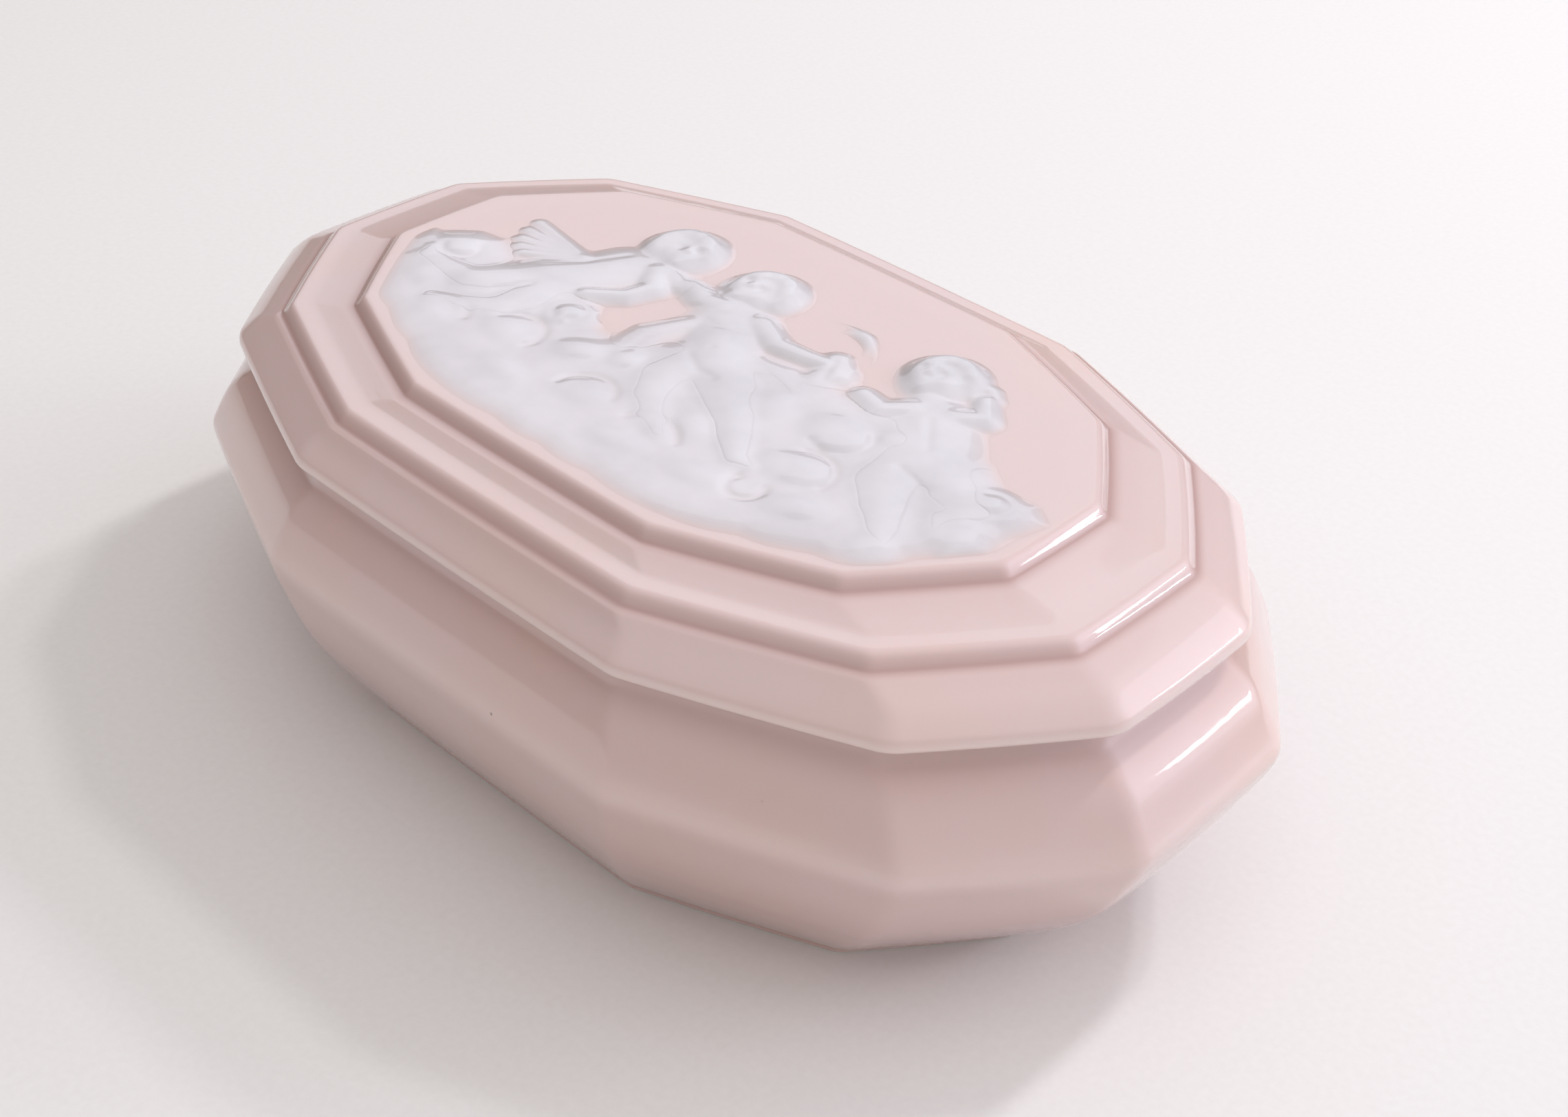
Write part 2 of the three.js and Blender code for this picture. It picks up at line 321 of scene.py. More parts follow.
def facetDistances():
    endCorner = np.array([jarLength / 2, plan["endFlat"] / 2])
    sideCorner = np.array([plan["sideFlat"] / 2, jarWidth / 2])
    endTurn = math.radians(90 - plan["endFacetTurn"] + 1)      # a degree past the end facets
    reach = []
    for normal in facetNormal:
        across = np.abs(normal)
        nearEnd = across[0] > math.cos(endTurn)
        reach.append(across @ (endCorner if nearEnd else sideCorner))
    return np.array(reach)


facetReach = facetDistances()
facetCount = len(facetReach)


def cornersOf(reach):
    # where each facet meets the next one
    following = np.roll(facetNormal, -1, axis=0)
    cross = facetNormal[:, 0] * following[:, 1] - facetNormal[:, 1] * following[:, 0]
    nextReach = np.roll(reach, -1)
    x = (reach * following[:, 1] - nextReach * facetNormal[:, 1]) / cross
    y = (nextReach * facetNormal[:, 0] - reach * following[:, 0]) / cross
    return np.stack([x, y], axis=1)


bellyCorners = cornersOf(facetReach)
flatSizes = np.linalg.norm(bellyCorners - np.roll(bellyCorners, 1, axis=0), axis=1)
flatSteps = [max(plan["fewestSteps"], round(size / plan["flatStep"])) for size in flatSizes]


def outlineAt(length, inset, radius):
    # one level's loop of points: flats with a slight crown, joined by arcs of the radius
    reach = facetReach * length / jarLength - inset
    corners = cornersOf(reach)
    turns = (np.roll(facetAngle, -1) - facetAngle) % (2 * math.pi)
    trims = radius * np.tan(turns / 2)
    points = []
    for i in range(facetCount):
        along = np.array([-facetNormal[i][1], facetNormal[i][0]])
        start = corners[i - 1] + along * trims[i - 1]
        end = corners[i] - along * trims[i]
        t = np.linspace(0, 1, flatSteps[i], endpoint=False)[:, None]
        bow = plan["crown"] * length / jarLength * 4 * t * (1 - t)
        points.append(start + (end - start) * t + facetNormal[i] * bow)
        centre = end - facetNormal[i] * radius
        angles = facetAngle[i] + turns[i] * np.linspace(0, 1, plan["cornerSteps"], endpoint=False)
        points.append(centre + radius * np.stack([np.cos(angles), np.sin(angles)], axis=1))
    return np.concatenate(points)


def level(length, height, inset=0, soft=0.5, corner=5, poolAndShade=0, bare=0):
    # soft rounds the profile here, corner rounds the plan, the pool value is the glaze's depth of colour and
    # also paints shade into grooves and hollows, and below 0 pales a thinned edge
    return {"spot": np.array([length, inset, height, corner, poolAndShade, bare], float), "soft": soft}


def profileDistance(a, b):
    # between two levels, out along their half length and up
    return math.hypot((b[0] - a[0]) / 2 - (b[1] - a[1]), b[2] - a[2])


def softened(levels, longest=2.4, closest=1e-5, arcSteps=6):
    # each level's corner becomes a short curve, and long runs between them are divided
    spots = [levels[0]["spot"]]
    for before, here, after in zip(levels, levels[1:], levels[2:]):
        a, b, c = before["spot"], here["spot"], after["spot"]
        back, on = profileDistance(b, a), profileDistance(b, c)
        trim = min(here["soft"], back * 0.49, on * 0.49)
        start = b + (a - b) * trim / max(back, tiny)
        end = b + (c - b) * trim / max(on, tiny)
        for t in np.linspace(0, 1, arcSteps):
            spots.append(start * (1 - t) ** 2 + 2 * b * t * (1 - t) + end * t ** 2)
    spots.append(levels[-1]["spot"])
    path = [spots[0]]
    for spot in spots[1:]:
        run = profileDistance(path[-1], spot)
        if run < closest:
            continue
        parts = math.ceil(run / longest)
        path += [path[-1] + (spot - path[-1]) * k / parts for k in range(1, parts + 1)]
    return np.array(path)


def unevenness(x, y):
    # long low waves, in mm, that the lid's top and the slip on it share
    wave = np.sin(x / 19 + 1.3 * np.sin(y / 23)) + 0.7 * np.sin(y / 15 - x / 37 + 2)
    return plan["wave"] * wave


def meshFrom(name, vertices, faces, materials):
    mesh = bpy.data.meshes.new(name)
    mesh.from_pydata((np.asarray(vertices) * mm).tolist(), [], faces)
    mesh.update()
    mesh.shade_smooth()
    for material in materials:
        mesh.materials.append(material)
    piece = bpy.data.objects.new(name, mesh)
    bpy.context.scene.collection.objects.link(piece)
    return piece


def turnedOnPlan(name, levels, materials):
    # a closed shell: the first and last levels close on the axis
    path = softened(levels)
    rings, poolAndShadeRings = [], []
    for length, inset, height, corner, poolAndShade, _ in path[1:-1]:
        loop = outlineAt(length, inset, max(plan["smallestCorner"], corner * length / jarLength))
        angle = np.arctan2(loop[:, 1], loop[:, 0])
        # three and five slow swells round each loop
        swell = 1 + plan["wave"] / jarWidth * (np.sin(3 * angle + height / 9) + np.sin(5 * angle - 1))
        loop = loop * swell[:, None]
        rise = height + unevenness(loop[:, 0], loop[:, 1]) * min(1, max(0, height) / mouthHeight)
        rings.append(np.column_stack([loop, rise]))
        poolAndShadeRings.append(np.full(len(loop), poolAndShade))
    count = len(rings[0])
    ends = [(0, 0, spot[2] + unevenness(0, 0) * min(1, spot[2] / mouthHeight))
            for spot in (path[0], path[-1])]
    vertices = np.concatenate([[ends[0]], *rings, [ends[1]]])
    last = len(vertices) - 1
    around = np.arange(count)
    onward = (around + 1) % count
    faces = [(0, 1 + b, 1 + a) for a, b in zip(around, onward)]
    bare = [0] * count
    for k in range(len(rings) - 1):
        low, high = 1 + k * count, 1 + (k + 1) * count
        faces += [(low + a, low + b, high + b, high + a) for a, b in zip(around, onward)]
        bare += [int(path[k + 1][5] > 0.5 and path[k + 2][5] > 0.5)] * count
    top = 1 + (len(rings) - 1) * count
    faces += [(top + a, top + b, last) for a, b in zip(around, onward)]
    bare += [0] * count
    piece = meshFrom(name, vertices, [tuple(int(i) for i in face) for face in faces], materials)
    piece.data.polygons.foreach_set("material_index", bare)
    # each point's pool value, which carries painted shade as well as the glaze's pooling
    poolAndShade = piece.data.attributes.new("glazePoolAndShade", "FLOAT", "POINT")
    poolAndShade.data.foreach_set("value", np.concatenate([[0], *poolAndShadeRings, [0]]).astype(np.float32))
    return piece


bowlSizes = {
    "footInset": 17.8,
    "footWidth": 3.6,
    "footHeight": 1.5,
    "footRecess": 1.6,
    "breakInset": 2.7,
    "breakHeight": 19.5,
    "bellyHeight": 27,
    "lowBow": (0.46, 0.38),    # shares of the way out and up where the lower wall bows
    "highBow": (0.82, 0.72),
    "shoulderBow": 1.5,
    "mouthInset": 9.7,
    "wall": 3.4,
    "land": 4,                 # width of the unglazed edge that the lid sits on
    "floor": 5.6,
}


def makeBowl(glaze, bare):
    b = bowlSizes
    foot = jarLength - 2 * b["footInset"]
    wallBreak = jarLength - 2 * b["breakInset"]
    mouth = jarLength - 2 * b["mouthInset"]
    spread = wallBreak - foot
    lowOut, lowUp = foot + b["lowBow"][0] * spread, b["lowBow"][1] * b["breakHeight"]
    highOut, highUp = foot + b["highBow"][0] * spread, b["highBow"][1] * b["breakHeight"]
    shoulderOut = (jarLength + mouth) / 2 + b["shoulderBow"]
    shoulderUp = (b["bellyHeight"] + mouthHeight) / 2
    wall = b["wall"]
    flangeDepth = mouthHeight - flangeFoot
    # the pool values on the foot, the lower wall and just under the mouth paint shade there, as well as the
    # glaze's pooling
    outside = [
        level(0, b["footRecess"]),
        level(foot, b["footRecess"], inset=b["footWidth"] + 1, soft=0.6),
        level(foot, 0.3, inset=b["footWidth"], soft=0.3),
        level(foot, 0, inset=b["footWidth"] - 0.4, soft=0.2, bare=1),
        level(foot, 0, inset=0.5, soft=0.3, bare=1),
        level(foot, 0.5, inset=0.05, soft=0.3, poolAndShade=0.3),
        level(foot, b["footHeight"], soft=0.5, poolAndShade=0.8),
        level(foot + 2.4, b["footHeight"] + 0.5, soft=0.8, poolAndShade=0.35),
        level(lowOut, lowUp, soft=6, poolAndShade=0.6),
        level(highOut, highUp, soft=5, poolAndShade=0.5),
        level(wallBreak, b["breakHeight"], soft=2, poolAndShade=0.28),
        level(jarLength - 1.1, b["bellyHeight"] - 2.4, soft=1.6, poolAndShade=0.26),
        level(jarLength + 0.1, b["bellyHeight"], soft=1.4, poolAndShade=-0.15),
        level(jarLength - 2.2, b["bellyHeight"] + 2.1, soft=1.4, poolAndShade=0.05),
        level(shoulderOut, shoulderUp + 0.8, soft=4, poolAndShade=0.2),
        level(mouth + 1.6, mouthHeight - 2.4, soft=2, poolAndShade=0.4),
        level(mouth, mouthHeight - 0.7, soft=0.5),
        level(mouth, mouthHeight, inset=0.7, soft=0.4, bare=1),
        level(mouth, mouthHeight, inset=b["land"] - 0.4, soft=0.3, bare=1),
    ]
    inside = [
        level(mouth, mouthHeight - 0.6, inset=b["land"], soft=0.4),
        level(mouth, mouthHeight - flangeDepth - 1.4, inset=b["land"], soft=1.2),
        level(shoulderOut, shoulderUp - 1, inset=wall, soft=2.5),
        level(jarLength, b["bellyHeight"], inset=wall, soft=3),
        level(wallBreak, b["breakHeight"] + 0.8, inset=wall, soft=3),
        level(highOut, highUp + 1.2, inset=wall, soft=4),
        level(lowOut, lowUp + 1.8, inset=wall, soft=4),
        level(foot + 2, b["floor"] + 0.7, inset=wall + 4, soft=3),
        level(foot + 2, b["floor"], inset=wall + 11, soft=4),
        level(0, b["floor"]),
    ]
    piece = turnedOnPlan("bowlGlazed", outside + inside, [glaze, bare])
    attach(piece, "bowl")
    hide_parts("bowl")
    print("bowl made,", len(piece.data.vertices), "points")


lidSizes = {
    "rimThickness": 2.4,
    "lowerTierInset": 8,
    "upperTierInset": 11.7,
    "seatGap": 0.3,
    "lidRise": 6.5,
    "tierRise": 1.6,
    "tierSlope": 1.2,
    "ridge": 0.95,             # rounding of each tier's edge
    "groove": 0.45,            # rounding where a tier meets the level below it
    "wall": 3.4,
    "flangeInset": 4.8,
    "flangeThickness": 2.4,
    "tierCorner": 4,
    "rimCorner": 7,
}


def makeLid(glaze, bare):
    s = lidSizes
    mouth = jarLength - 2 * bowlSizes["mouthInset"]
    seat = mouthHeight + s["seatGap"]
    lower = rimLength - 2 * s["lowerTierInset"]
    upper = lower - 2 * s["upperTierInset"]
    midRise = seat + (s["rimThickness"] + s["lidRise"]) / 2
    lowerFoot = seat + s["lidRise"]
    lowerRidge = lowerFoot + s["tierRise"]
    upperFoot = topHeight - s["tierRise"]
    slope = s["tierSlope"]
    crisp, outer = s["tierCorner"], s["rimCorner"]
    wall = s["wall"]
    face = s["flangeInset"]
    back = face + s["flangeThickness"]
    underside = [
        level(0, topHeight - wall),
        level(upper, upperFoot - wall, inset=wall - 1, soft=1.5),
        level(lower, lowerFoot - wall + 0.4, inset=wall + 1.2, soft=1.5),
        level(mouth, seat + 2.2, inset=back, soft=1),
        level(mouth, flangeFoot + 0.1, inset=back, soft=0.7),
        level(mouth, flangeFoot, inset=back - 0.6, soft=0.4, bare=1),
        level(mouth, flangeFoot, inset=face + 0.5, soft=0.4, bare=1),
        level(mouth, flangeFoot + 0.7, inset=face, soft=0.4, bare=1),
        level(mouth, seat - 0.1, inset=face, soft=0.3, bare=1),
        level(mouth, seat, inset=face - 0.5, soft=0.3, bare=1),
        level(mouth, seat, inset=0.2, soft=0.2, bare=1),
        level(mouth, seat, inset=-0.4, soft=0.2),
    ]
    # the pool values in each tier's groove paint shade there, as well as the glaze's pooling; those below 0
    # are glaze thinned off an edge
    upside = [
        level(rimLength, seat, inset=1, soft=0.5, corner=outer, poolAndShade=-0.3),
        level(rimLength, seat + 0.7, inset=0.05, soft=0.6, corner=outer, poolAndShade=-0.75),
        level(rimLength, seat + s["rimThickness"] - 0.3, inset=0.1, soft=1.1, corner=outer, poolAndShade=0.02),
        level(rimLength, midRise, inset=2.6, soft=2.6, corner=outer - 1),
        level(lower, lowerFoot - 0.3, inset=-1.1, soft=1.8, corner=crisp + 1, poolAndShade=0.1),
        level(lower, lowerFoot, inset=-0.1, soft=s["groove"], corner=crisp, poolAndShade=0.8),
        level(lower, lowerFoot + 0.4, inset=0.3, soft=0.2, corner=crisp, poolAndShade=0.45),
        level(lower, lowerRidge, inset=slope, soft=s["ridge"], corner=crisp),
        level(lower, lowerRidge + 0.1, inset=slope + 2.6, soft=1.4, corner=crisp, poolAndShade=-0.08),
        level(upper, upperFoot - 0.2, inset=-1.4, soft=1.2, corner=crisp + 0.5, poolAndShade=0.1),
        level(upper, upperFoot, inset=-0.1, soft=s["groove"], corner=crisp, poolAndShade=0.8),
        level(upper, upperFoot + 0.4, inset=0.3, soft=0.2, corner=crisp, poolAndShade=0.45),
        level(upper, topHeight, inset=slope, soft=s["ridge"], corner=crisp),
        level(upper, topHeight, inset=slope + 2.6, soft=1.2, corner=crisp, poolAndShade=-0.08),
        level(upper, topHeight, inset=slope + 5, soft=0.7, corner=crisp),
        level(0, topHeight),
    ]
    piece = turnedOnPlan("lidGlazed", underside + upside, [glaze, bare])
    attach(piece, "lid")
    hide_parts("lid")
    print("lid made,", len(piece.data.vertices), "points")


# the slip relief, worked out as heights above the lid's flat top on one fine grid

relief = {
    "gridStep": 0.3,
    "softening": 0.28,      # mm by which the glaze fills and rounds every edge
    "sink": 0.06,           # mm that this filling takes off every height
    "join": 0.35,           # mm over which one form flows into the next
    "fillet": 0.7,          # the same where two pieces meet
    "spread": 1.3,          # how far each form runs out past its drawn edge
    "roundness": 1.2,       # 1 is a plain dome, more draws it to a finer crown
    "fall": 0.5,            # how steeply a form drops below 0 beyond its edge
    "figureRise": 0.6,      # the figures' heights below are multiplied by this
    "bury": 0.5,            # how far the slip's underside lies below the lid's surface
    "tuck": 0.3,            # how far a piece dips under its neighbour
    "lowest": -0.3,         # a piece ends where its own form is lower than this
    "milky": 0.42,          # mm of slip that hides most of the pink
    "reach": (54, 32.5),    # half length and half width of the grid
}
gridX, gridY = np.meshgrid(
    np.arange(-relief["reach"][0], relief["reach"][0], relief["gridStep"]),
    np.arange(-relief["reach"][1], relief["reach"][1], relief["gridStep"]),
    indexing="ij")


def dome(distance):
    # 1 in the middle, running out softly a little beyond the edge and falling below 0 after that
    wide = distance / relief["spread"]
    beyond = np.clip(wide - 1, 0, 1.2)
    return np.clip(1 - wide ** 2, 0, 1) ** relief["roundness"] - relief["fall"] * beyond


def together(first, second, join=None):
    # the higher of two forms, with a fillet where they meet
    k = relief["join"] if join is None else join
    near = np.clip(k - np.abs(first - second), 0, k) / k
    return np.maximum(first, second) + near ** 2 * k / 4


def fromLine(x1, y1, x2, y2):
    # for every grid point: the share of the way along a line that is nearest, and x and y from there
    dx, dy = x2 - x1, y2 - y1
    t = np.clip(((gridX - x1) * dx + (gridY - y1) * dy) / max(dx * dx + dy * dy, tiny), 0, 1)
    return t, gridX - x1 - t * dx, gridY - y1 - t * dy


def limb(points):
    # a rounded limb through points of x, y, radius and height
    form = None
    for (x1, y1, r1, h1), (x2, y2, r2, h2) in zip(points, points[1:]):
        t, awayX, awayY = fromLine(x1, y1, x2, y2)
        away = np.hypot(awayX, awayY) / (r1 + t * (r2 - r1))
        piece = (h1 + t * (h2 - h1)) * dome(away)
        form = piece if form is None else np.maximum(form, piece)
    return form


def oval(x, y, long, short, tilt, height):
    turn = math.radians(tilt)
    u = (gridX - x) * math.cos(turn) + (gridY - y) * math.sin(turn)
    v = (gridY - y) * math.cos(turn) - (gridX - x) * math.sin(turn)
    return height * dome(np.hypot(u / long, v / short))


def touch(x, y, radius, height):
    # a soft dab to add to a form, or a dent when height is below 0
    return height * np.exp(-((gridX - x) ** 2 + (gridY - y) ** 2) / radius ** 2)


def crease(points, radius, depth):
    # a soft furrow along points of x, y, or a ridge when depth is below 0
    nearest = np.full(gridX.shape, farAway)
    for start, end in zip(points, points[1:]):
        _, awayX, awayY = fromLine(*start, *end)
        nearest = np.minimum(nearest, awayX ** 2 + awayY ** 2)
    return -depth * np.exp(-nearest / radius ** 2)


def curve(x, y, radius, start, end, steps=9):
    # points along an arc
    return [(x + radius * math.cos(math.radians(a)), y + radius * math.sin(math.radians(a)))
            for a in np.linspace(start, end, steps)]


headShape = {
    "height": 2.3,
    "curl": 0.27,           # a curl's radius, in head radii
    "curlRise": 0.85,
    "curlStep": 21,         # degrees from curl to curl on a row one head radius out
    "curlRows": ((0.86, 118), (0.56, 84)),   # each row's distance out and its degrees to each side
    "features": 1.6,        # strength of nose, lips, eyes, brows and cheeks
}


def head(x, y, radius, tilt, turn):
    # a child's head on plain proportions: tilt leans it, turn swings the face from -1 to 1
    up = math.radians(90 + tilt)

    def spot(across, along):
        return (x + radius * (across * math.sin(up) + along * math.cos(up)),
                y + radius * (along * math.sin(up) - across * math.cos(up)))

    form = oval(*spot(0, 0), radius * 1.04, radius * 0.94, 90 + tilt, headShape["height"])
    form = together(form, oval(*spot(turn * 0.3, -0.42), radius * 0.66, radius * 0.6, 90 + tilt,
                               headShape["height"] * 0.93))
    strength = headShape["features"]
    # across and along the face, size in head radii, and rise
    middle = [
        (0.42, -0.06, 0.2, 0.22),       # bridge and tip of the nose
        (0.46, -0.2, 0.13, 0.3),
        (0.43, -0.5, 0.16, 0.13),       # lips and chin
        (0.38, -0.78, 0.2, 0.24),
        (0.42, -0.37, 0.09, -0.12),     # below the nose and the lips
        (0.41, -0.62, 0.1, -0.12),
    ]
    for across, along, size, rise in middle:
        form = form + touch(*spot(turn * across, along), size * radius, rise * strength)
    # the same with the step to each side
    paired = [
        (0.36, 0.26, -0.08, 0.15, -0.3),    # eyes
        (0.36, 0.27, 0.1, 0.2, 0.14),       # brows
        (0.3, 0.4, -0.38, 0.26, 0.14),      # cheeks
    ]
    for side in (-1, 1):
        for across, aside, along, size, rise in paired:
            place = spot(turn * across + side * aside, along)
            form = form + touch(*place, size * radius, rise * strength)
    for ring, reach in headShape["curlRows"]:
        for angle in np.arange(-reach, reach + 1, headShape["curlStep"] / ring):
            across = ring * math.sin(math.radians(angle)) - turn * 0.16
            along = ring * math.cos(math.radians(angle)) + 0.12
            size = headShape["curl"] * radius
            form = form + touch(*spot(across, along), size, headShape["curlRise"])
            form = form + touch(*spot(across * 1.02, along * 1.03), size * 0.4, -0.2)   # its middle
    return form


def wing(x, y, length, angle, spread, feathers=5):
    # feathers fanned out from the shoulder, the upper ones lying over the lower
    form = None
    for k in range(feathers):
        share = k / (feathers - 1)
        a = math.radians(angle + spread * (share - 0.5))
        reach = length * (1 - 0.32 * share)
        tip = (x + reach * math.cos(a), y + reach * math.sin(a))
        feather = limb([(x, y, 1.5, 1.1), (*tip, 1.15, 0.75 + 0.3 * share)])
        form = feather if form is None else together(form, feather, 0.06)
    return together(form, oval(x, y, 2.2, 1.7, angle, 1.35))


def built(forms):
    # forms laid on one another in turn
    whole = forms[0]
    for form in forms[1:]:
        whole = together(whole, form)
    return whole


# the three children, each built up from limbs of x, y, radius and height

def puttoReclining():
    body = built([
        limb([(-23.4, 11, 2.6, 1.2), (-25, 7.4, 5, 1.6), (-27.4, 2, 4.7, 1.7), (-30, -3, 5.4, 1.8)]),
        limb([(-30.5, -3.4, 4.9, 1.8), (-34, -8, 3.9, 1.9), (-36.4, -10.4, 3.1, 1.9)]),  # near thigh
        limb([(-36.4, -10.4, 3, 1.8), (-41.4, -11, 2.7, 1.6), (-45.6, -10.4, 1.9, 1.2)]),  # near calf
        limb([(-45.4, -10.6, 1.7, 1.3), (-46.8, -8.8, 1.3, 1.1)]),
        limb([(-29, -3, 4.6, 1.5), (-27.2, -9.4, 3.8, 1.6), (-28, -12.8, 3, 1.5)]),  # far thigh
        limb([(-28, -12.8, 2.9, 1.4), (-32.4, -16, 2.3, 1.2), (-36.4, -17.4, 1.6, 1.1)]),
        limb([(-21, 9, 2.8, 1.8), (-18, 5.4, 2.2, 1.85), (-19, 1.4, 1.9, 1.8), (-23, -2, 1.8, 1.7)]),
        limb([(-21, 10, 2.5, 1.5), (-16.4, 9, 2.1, 1.5), (-12.6, 9.6, 1.8, 1.5)]),  # arm to its friend
        wing(-30.4, 4.4, 13, 190, 46),
    ])
    body = body + touch(-26, 5, 2, 0.16) + touch(-30.6, -1, 2.4, 0.2)
    body = body + crease([(-26.8, 9.2), (-29.4, 3.6), (-33, -1)], 0.55, 0.24)
    body = body + crease([(-29.6, -6), (-31.6, -10.4)], 0.6, 0.5)
    return together(body, head(-22.6, 15.9, 5.4, 14, 0.5), 0.12)


def puttoLeaning():
    body = built([
        limb([(-7, 10.8, 2.6, 1.3), (-4.8, 7, 5, 1.65), (-1.8, 2.4, 4.8, 1.8), (1.6, -2, 5.4, 1.85)]),
        limb([(2, -2.4, 4.9, 1.9), (7.4, -6, 4.1, 2), (11.8, -9.4, 3.3, 1.9)]),  # near thigh
        limb([(11.8, -9.4, 3.1, 1.85), (15.4, -12.8, 2.7, 1.7), (19, -16.2, 1.9, 1.4)]),
        limb([(18.8, -16, 1.7, 1.4), (21.4, -16.2, 1.3, 1.1)]),
        limb([(0.2, -3.6, 4.4, 1.6), (-0.8, -9, 3.7, 1.6), (1.4, -13.4, 2.8, 1.45)]),  # far thigh
        limb([(1.4, -13.4, 2.7, 1.4), (5.4, -17, 2.2, 1.2), (8.8, -19.2, 1.5, 1.1)]),
        limb([(-8, 9, 2.6, 1.7), (-11.8, 8.4, 2.1, 1.6), (-15, 10, 1.8, 1.5)]),  # arm to its friend
        limb([(-1.6, 9, 2.6, 1.7), (3.6, 6.8, 2.1, 1.75), (8, 7.2, 1.9, 1.7), (11.8, 8, 1.7, 1.6)]),
        limb([(11.6, 9.8, 2, 1.3), (13.6, 7, 2.9, 1.5), (13.2, 4.2, 2.5, 1.2)]),  # cloth in its hand
        limb([(4, 0.6, 3, 1.2), (9, 1.6, 2.9, 1.15), (13, 0, 2.7, 1.1), (14.4, -5, 2.4, 1)]),
        limb([(-7.6, 3, 2.2, 1), (-10, -3, 2.4, 0.95), (-8.6, -9.4, 3, 0.9)]),  # cloth off its hip
    ])
    body = body + touch(-1.4, 1, 2.6, 0.22) + touch(-0.9, -0.4, 0.4, -0.3)
    body = body + crease([(-0.8, 5.4), (-4.6, 4), (-7.6, 4.8)], 0.5, 0.2)
    body = body + crease([(-2, -3.4), (1.6, -5.6), (4.6, -5.6)], 0.6, 0.45)
    body = body + crease([(11.8, 9.2), (13.8, 4.8)], 0.45, 0.3)
    body = body + crease([(5, 1.6), (12.8, -1)], 0.45, 0.22)
    body = body + crease([(-7.4, 1), (-9.4, -3.4), (-8, -9)], 0.45, 0.2)
    return together(body, head(-7.2, 15.3, 5.2, -12, -0.45), 0.12)


def puttoKneeling():
    body = built([
        limb([(25.6, 11.4, 2.4, 1.3), (29, 8.2, 5, 1.65), (32.6, 3.8, 5.4, 1.8), (35.4, -0.8, 5.9, 1.9)]),
        limb([(34.8, -1.8, 5.2, 1.9), (34.6, -7, 4.2, 1.9), (37.6, -10.8, 3.3, 1.8)]),  # near thigh
        limb([(37.6, -10.8, 3.1, 1.8), (40.6, -14.2, 2.6, 1.5), (42.6, -17, 1.8, 1.2)]),
        limb([(38, -1.6, 4.6, 1.7), (42.4, -3.2, 3.7, 1.6), (46, -4, 2.8, 1.4)]),  # far thigh and calf
        limb([(46, -4, 2.5, 1.4), (44, -8, 2.2, 1.2), (45.6, -11, 1.6, 1)]),
        limb([(30.8, 9.6, 2.5, 1.8), (33.8, 12.4, 2.1, 1.7), (31.2, 15.8, 1.7, 1.6)]),  # raised arm
        limb([(26.4, 8, 2.5, 1.75), (23.4, 4.8, 2.1, 1.7), (19.6, 6, 1.8, 1.5)]),  # arm held out
    ])
    body = body + touch(36.6, 0.8, 3, 0.2) + crease([(34.2, -4), (39, -5.2)], 0.65, 0.45)
    body = body + crease([(29.6, 6.8), (34, 1.4)], 0.55, 0.22)
    hair = built([limb([(26.8, 18, 2, 1.4), (30, 18.4, 1.4, 1.1), (32, 17.4, 0.9, 0.8)]),
                  limb([(27, 15.6, 1.7, 1.3), (29.8, 15.6, 1.1, 0.9)])])
    return together(together(body, hair), head(24, 16, 5, 14, -0.7), 0.12)


